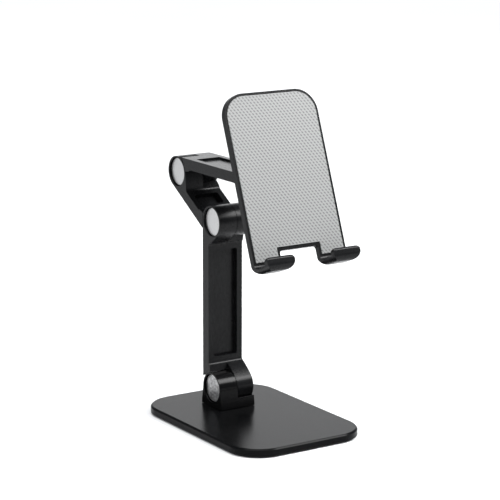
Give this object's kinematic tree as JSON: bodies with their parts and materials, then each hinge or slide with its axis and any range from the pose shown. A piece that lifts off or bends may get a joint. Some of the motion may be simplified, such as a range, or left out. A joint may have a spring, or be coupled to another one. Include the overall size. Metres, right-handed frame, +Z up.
{
  "type": "phone stand",
  "caption": "Folding desktop phone stand: weighted base plate, jointed arms on friction hinges, and a padded cradle plate with hooked feet and a cable notch.",
  "frame": {"origin": "on the surface that the stand rests on, under the middle of the base plate", "axes": "+Z up, +Y to the back, away from the user, +X to the user's right"},
  "size_m": [0.08, 0.1305, 0.1883],
  "materials": {
    "black_aluminium": "satin black anodised",
    "silver_aluminium": "spun silver",
    "steel": "plain zinc plated",
    "spring_steel": "oiled",
    "nylon": "matte natural",
    "silver_silicone": "fine dotted texture, soft sheen",
    "black_silicone": "matte"
  },
  "bodies": {
    "base": {"base_plate": "black_aluminium", "ballast_plate": "steel", "base_pad": "black_silicone", "base_bracket": "black_aluminium", "base_screw_1": "steel", "base_screw_2": "steel", "base_screw_3": "steel", "base_screw_4": "steel", "base_hinge_cap": "silver_aluminium", "base_hinge_nut": "steel", "base_hinge_friction_washer": "nylon", "base_hinge_spring_inner": "spring_steel", "base_hinge_spring_outer": "spring_steel", "base_hinge_bolt": "steel"},
    "lower_arm": {"lower_arm": "black_aluminium", "elbow_hinge_cap": "silver_aluminium", "elbow_hinge_nut": "steel", "elbow_hinge_friction_washer": "nylon", "elbow_hinge_spring_inner": "spring_steel", "elbow_hinge_spring_outer": "spring_steel", "elbow_hinge_bolt": "steel"},
    "middle_arm": {"middle_arm": "black_aluminium", "upper_hinge_cap": "silver_aluminium", "upper_hinge_nut": "steel", "upper_hinge_friction_washer": "nylon", "upper_hinge_spring_inner": "spring_steel", "upper_hinge_spring_outer": "spring_steel", "upper_hinge_bolt": "steel"},
    "upper_arm": {"upper_arm": "black_aluminium", "plate_hinge_cap": "silver_aluminium", "plate_hinge_nut": "steel", "plate_hinge_friction_washer": "nylon", "plate_hinge_spring_inner": "spring_steel", "plate_hinge_spring_outer": "spring_steel", "plate_hinge_bolt": "steel"},
    "cradle": {"phone_plate": "black_aluminium", "plate_pad": "silver_silicone", "hook_pad_left": "black_silicone", "hook_pad_right": "black_silicone", "plate_bracket": "black_aluminium", "plate_screw_1": "steel", "plate_screw_2": "steel", "plate_screw_3": "steel", "plate_screw_4": "steel"}
  },
  "joints": [
    {"name": "base_hinge", "type": "hinge", "parent": "base", "child": "lower_arm", "pos_m": [0, 0.025, 0.0159], "axis": [1, 0, 0], "range_deg": [-45, 30]},
    {"name": "elbow_hinge", "type": "hinge", "parent": "lower_arm", "child": "middle_arm", "pos_m": [0, 0.025, 0.1115], "axis": [1, 0, 0], "range_deg": [0, 50]},
    {"name": "upper_hinge", "type": "hinge", "parent": "middle_arm", "child": "upper_arm", "pos_m": [0, 0.06175, 0.1342], "axis": [1, 0, 0], "range_deg": [-150, 0]},
    {"name": "plate_hinge", "type": "hinge", "parent": "upper_arm", "child": "cradle", "pos_m": [0, -0.01974, 0.1342], "axis": [1, 0, 0], "range_deg": [-25, 75]}
  ]
}
